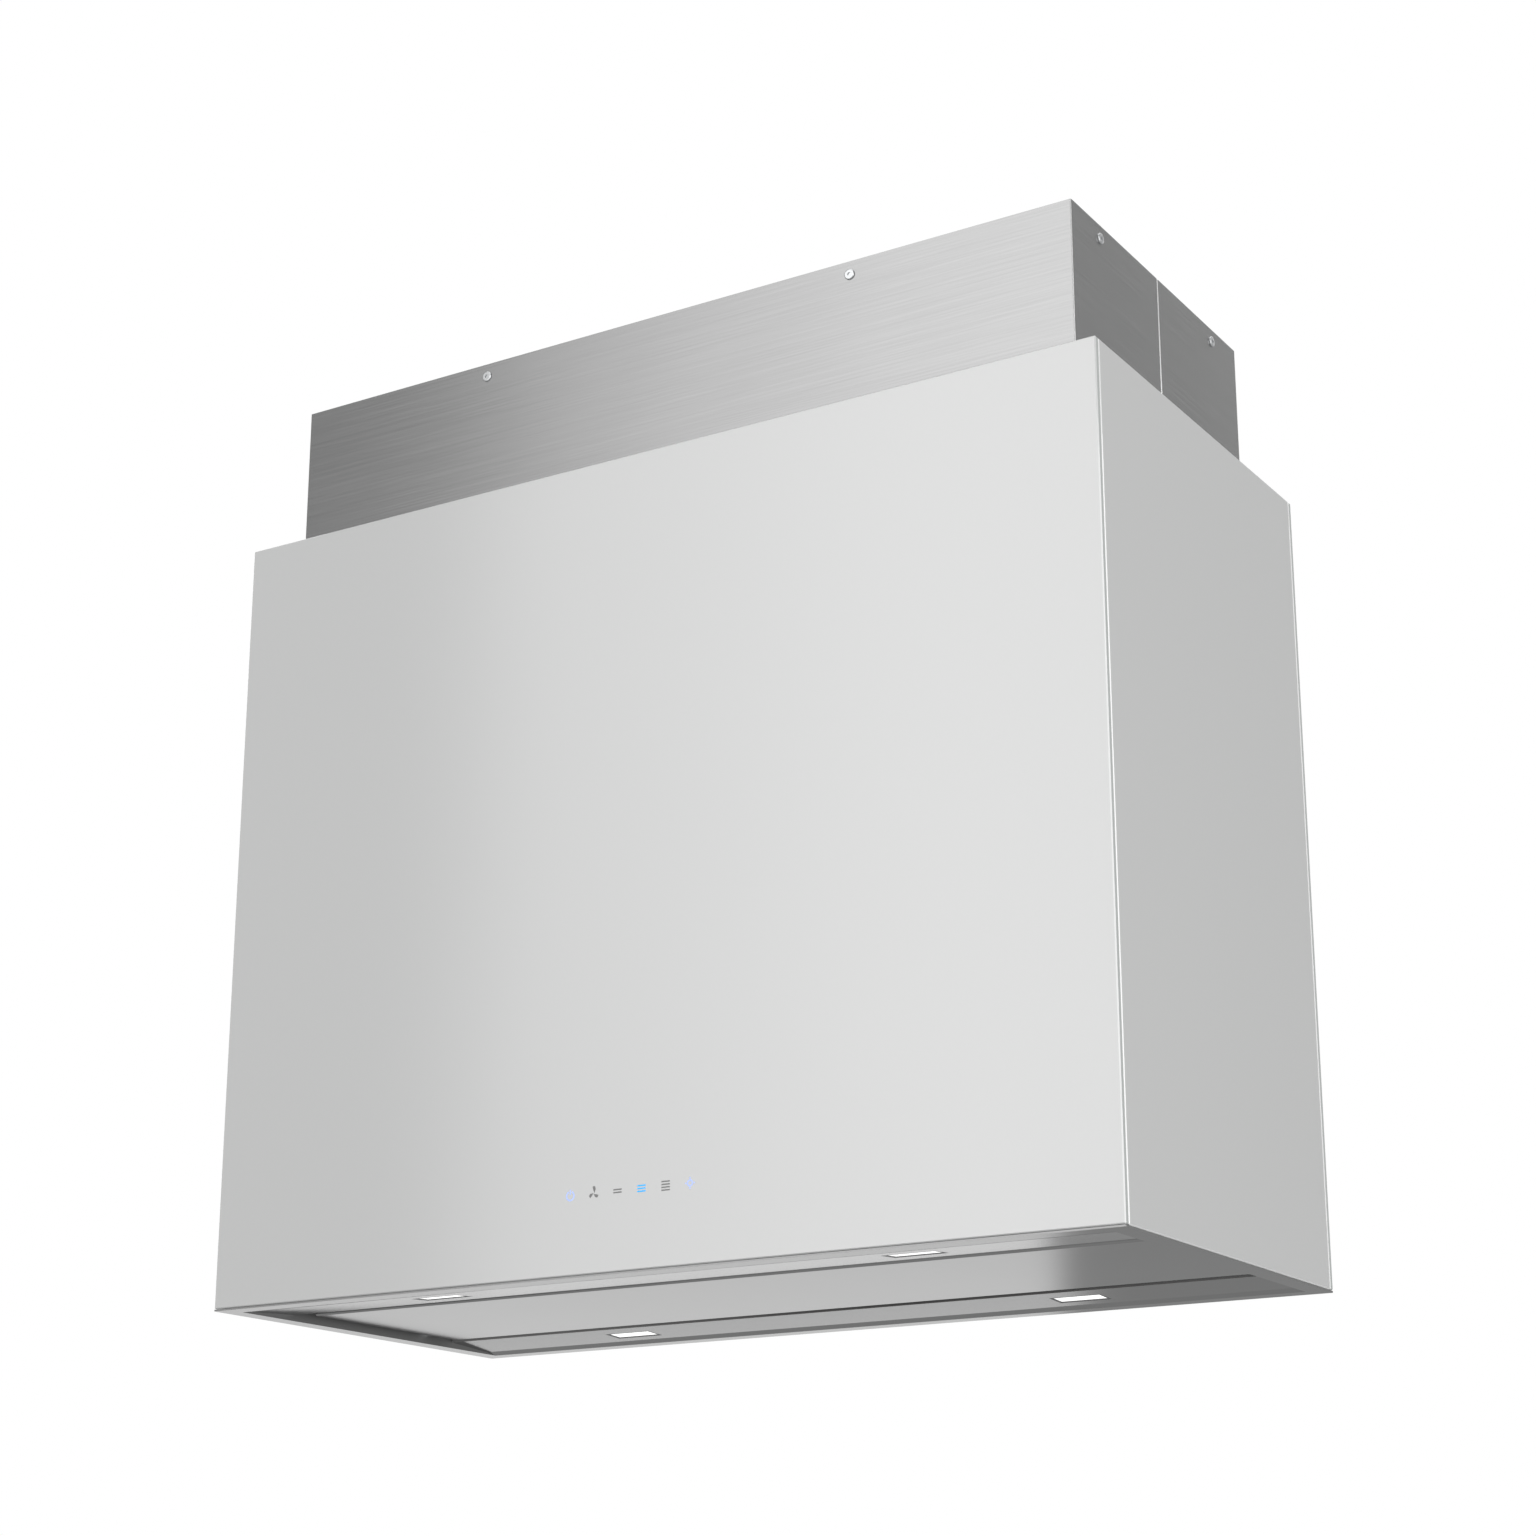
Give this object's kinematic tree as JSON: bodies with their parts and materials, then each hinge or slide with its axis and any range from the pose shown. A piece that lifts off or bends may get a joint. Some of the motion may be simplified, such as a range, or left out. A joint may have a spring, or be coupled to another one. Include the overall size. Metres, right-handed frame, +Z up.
{
  "type": "island range hood",
  "caption": "Ceiling-hung box-shaped island range hood: white glass body, brushed stainless sheath, perimeter-suction panel and lamps below, with telescopic frame, blower and filters inside.",
  "frame": {"origin": "centre of the ceiling bolt pattern, on the face that meets the ceiling", "axes": "+Z up into the ceiling, the front with the touch control faces -Y, +X to the right when facing the front"},
  "size_m": [0.9, 0.416, 0.883],
  "materials": {
    "white_glass": "white back-painted toughened glass, polished edges",
    "brushed_stainless": "fine horizontal brush",
    "galvanised_steel": "zinc coated sheet, satin",
    "zinc_fastener": "bright zinc",
    "mesh_aluminium": "layered expanded mesh",
    "cast_aluminium": "cast, matt",
    "dark_bezel": "moulded, fine texture",
    "lamp_lens": "frosted diffuser, lit",
    "black_plastic": "moulded, satin",
    "grey_plastic": "moulded, fine texture",
    "foam_tape": "closed-cell foam",
    "circuit_board": "lacquered board in a black cover"
  },
  "bodies": {
    "ceiling_mount": {"ceiling_plate": "galvanised_steel", "upper_legs_right": "galvanised_steel", "upper_legs_left": "galvanised_steel", "upper_leg_screws": "zinc_fastener", "chimney_front_half": "brushed_stainless", "chimney_rear_half": "brushed_stainless", "chimney_screws": "zinc_fastener"},
    "hood_body": {"lower_legs_right": "galvanised_steel", "lower_legs_left": "galvanised_steel", "leg_clamp_bolts": "zinc_fastener", "deck_rail_rear": "galvanised_steel", "deck_rail_front": "galvanised_steel", "rail_screws": "zinc_fastener", "fan_deck": "galvanised_steel", "casing_front_half": "galvanised_steel", "casing_rear_half": "galvanised_steel", "rear_glass": "white_glass", "front_glass": "white_glass", "right_glass": "white_glass", "left_glass": "white_glass", "glass_bonding_tapes": "foam_tape", "top_closing_frame": "brushed_stainless", "bottom_rim": "brushed_stainless", "lamp_strip_rear": "brushed_stainless", "lamp_strip_front": "brushed_stainless", "lamp_bezels": "dark_bezel", "lamp_lenses": "lamp_lens", "hinge_bushings": "black_plastic", "catch_magnets": "zinc_fastener", "filter_rail_rear": "galvanised_steel", "filter_rail_front": "galvanised_steel", "filter_frame_right": "cast_aluminium", "filter_frame_left": "cast_aluminium", "filter_mesh_right": "mesh_aluminium", "filter_mesh_left": "mesh_aluminium", "scroll_wrapper": "galvanised_steel", "scroll_side_rear": "galvanised_steel", "scroll_side_front": "galvanised_steel", "inlet_rings": "grey_plastic", "fan_motor": "cast_aluminium", "motor_spider": "galvanised_steel", "run_capacitor": "grey_plastic", "outlet_collar": "black_plastic", "damper_pin": "zinc_fastener", "control_box": "galvanised_steel", "control_box_cover": "galvanised_steel", "terminal_block": "black_plastic", "mains_gland": "black_plastic", "led_driver": "black_plastic", "touch_board": "circuit_board"},
    "suction_panel": {"suction_panel": "brushed_stainless", "panel_backing": "galvanised_steel", "panel_hinge_pins": "zinc_fastener"},
    "impeller": {"impeller": "grey_plastic", "fan_shaft": "zinc_fastener"},
    "damper_flap_right": {"damper_flap_right": "black_plastic"},
    "damper_flap_left": {"damper_flap_left": "black_plastic"},
    "filter_latch_right": {"filter_latch_right": "black_plastic"},
    "filter_latch_left": {"filter_latch_left": "black_plastic"}
  },
  "joints": [
    {"name": "height_adjust", "type": "slide", "parent": "ceiling_mount", "child": "hood_body", "axis": [0, 0, 1], "range_m": [-0.15, 0.09]},
    {"name": "suction_panel_hinge", "type": "hinge", "parent": "hood_body", "child": "suction_panel", "pos_m": [0, 0.08, -0.873], "axis": [1, 0, 0], "range_deg": [0, 90]},
    {"name": "impeller_spin", "type": "hinge", "parent": "hood_body", "child": "impeller", "pos_m": [-0.089, 0, -0.621], "axis": [0, 1, 0], "continuous": true},
    {"name": "damper_right_swing", "type": "hinge", "parent": "hood_body", "child": "damper_flap_right", "pos_m": [0, 0, -0.429], "axis": [0, -1, 0], "range_deg": [0, 80]},
    {"name": "damper_left_swing", "type": "hinge", "parent": "hood_body", "child": "damper_flap_left", "pos_m": [0, 0, -0.429], "axis": [0, 1, 0], "range_deg": [0, 80]},
    {"name": "filter_latch_right_slide", "type": "slide", "parent": "hood_body", "child": "filter_latch_right", "axis": [0, 1, 0], "range_m": [0, 0.007], "stiffness_N_per_m": 600, "springref_m": -0.001},
    {"name": "filter_latch_left_slide", "type": "slide", "parent": "hood_body", "child": "filter_latch_left", "axis": [0, 1, 0], "range_m": [0, 0.007], "stiffness_N_per_m": 600, "springref_m": -0.001}
  ]
}
